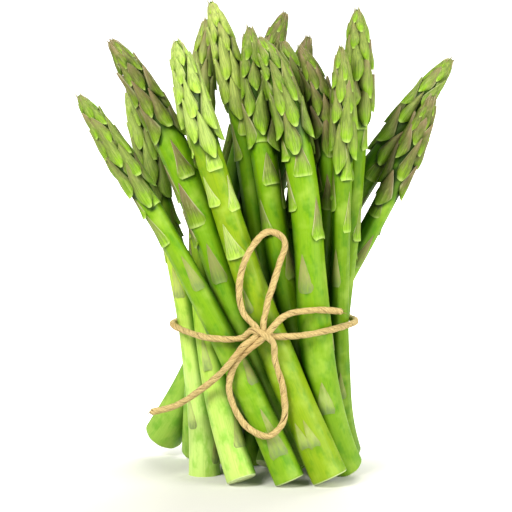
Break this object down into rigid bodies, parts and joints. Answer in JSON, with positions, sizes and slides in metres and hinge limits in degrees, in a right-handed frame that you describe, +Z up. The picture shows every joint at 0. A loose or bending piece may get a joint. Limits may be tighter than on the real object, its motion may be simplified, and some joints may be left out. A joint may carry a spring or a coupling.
{
  "type": "bundle of asparagus",
  "caption": "Green asparagus spears with scaly tips, tied round the waist with twisted twine in a bow, standing upright on their cut ends and splayed at the top.",
  "frame": {"origin": "on the ground under the middle of the bundle, measured without the twine", "axes": "+Z up along the spears, +X to the right and -Y to the front, where the bow of the twine is"},
  "size_m": [0.1568, 0.0841, 0.2002],
  "materials": {
    "spear_skin": "fresh green plant skin with a thin waxy bloom, paler towards the cut end, with grey-green and purple-brown scales",
    "twine_fibre": "dry twisted paper fibre, tan, matt"
  },
  "bodies": {
    "root": {"spear_front_left": "spear_skin", "spear_upper_left": "spear_skin", "spear_front_thick": "spear_skin", "spear_pale_tip": "spear_skin", "spear_tall": "spear_skin", "spear_level_foot": "spear_skin", "spear_centre": "spear_skin", "spear_front_right": "spear_skin", "spear_back_left": "spear_skin", "spear_back_splayed": "spear_skin", "spear_brown_tip": "spear_skin", "spear_right_tall": "spear_skin", "spear_right_front": "spear_skin", "spear_right_outer": "spear_skin", "spear_right_low": "spear_skin", "spear_inner": "spear_skin", "spear_back_short": "spear_skin", "spear_back_middle": "spear_skin", "twine": "twine_fibre"}
  },
  "joints": []
}
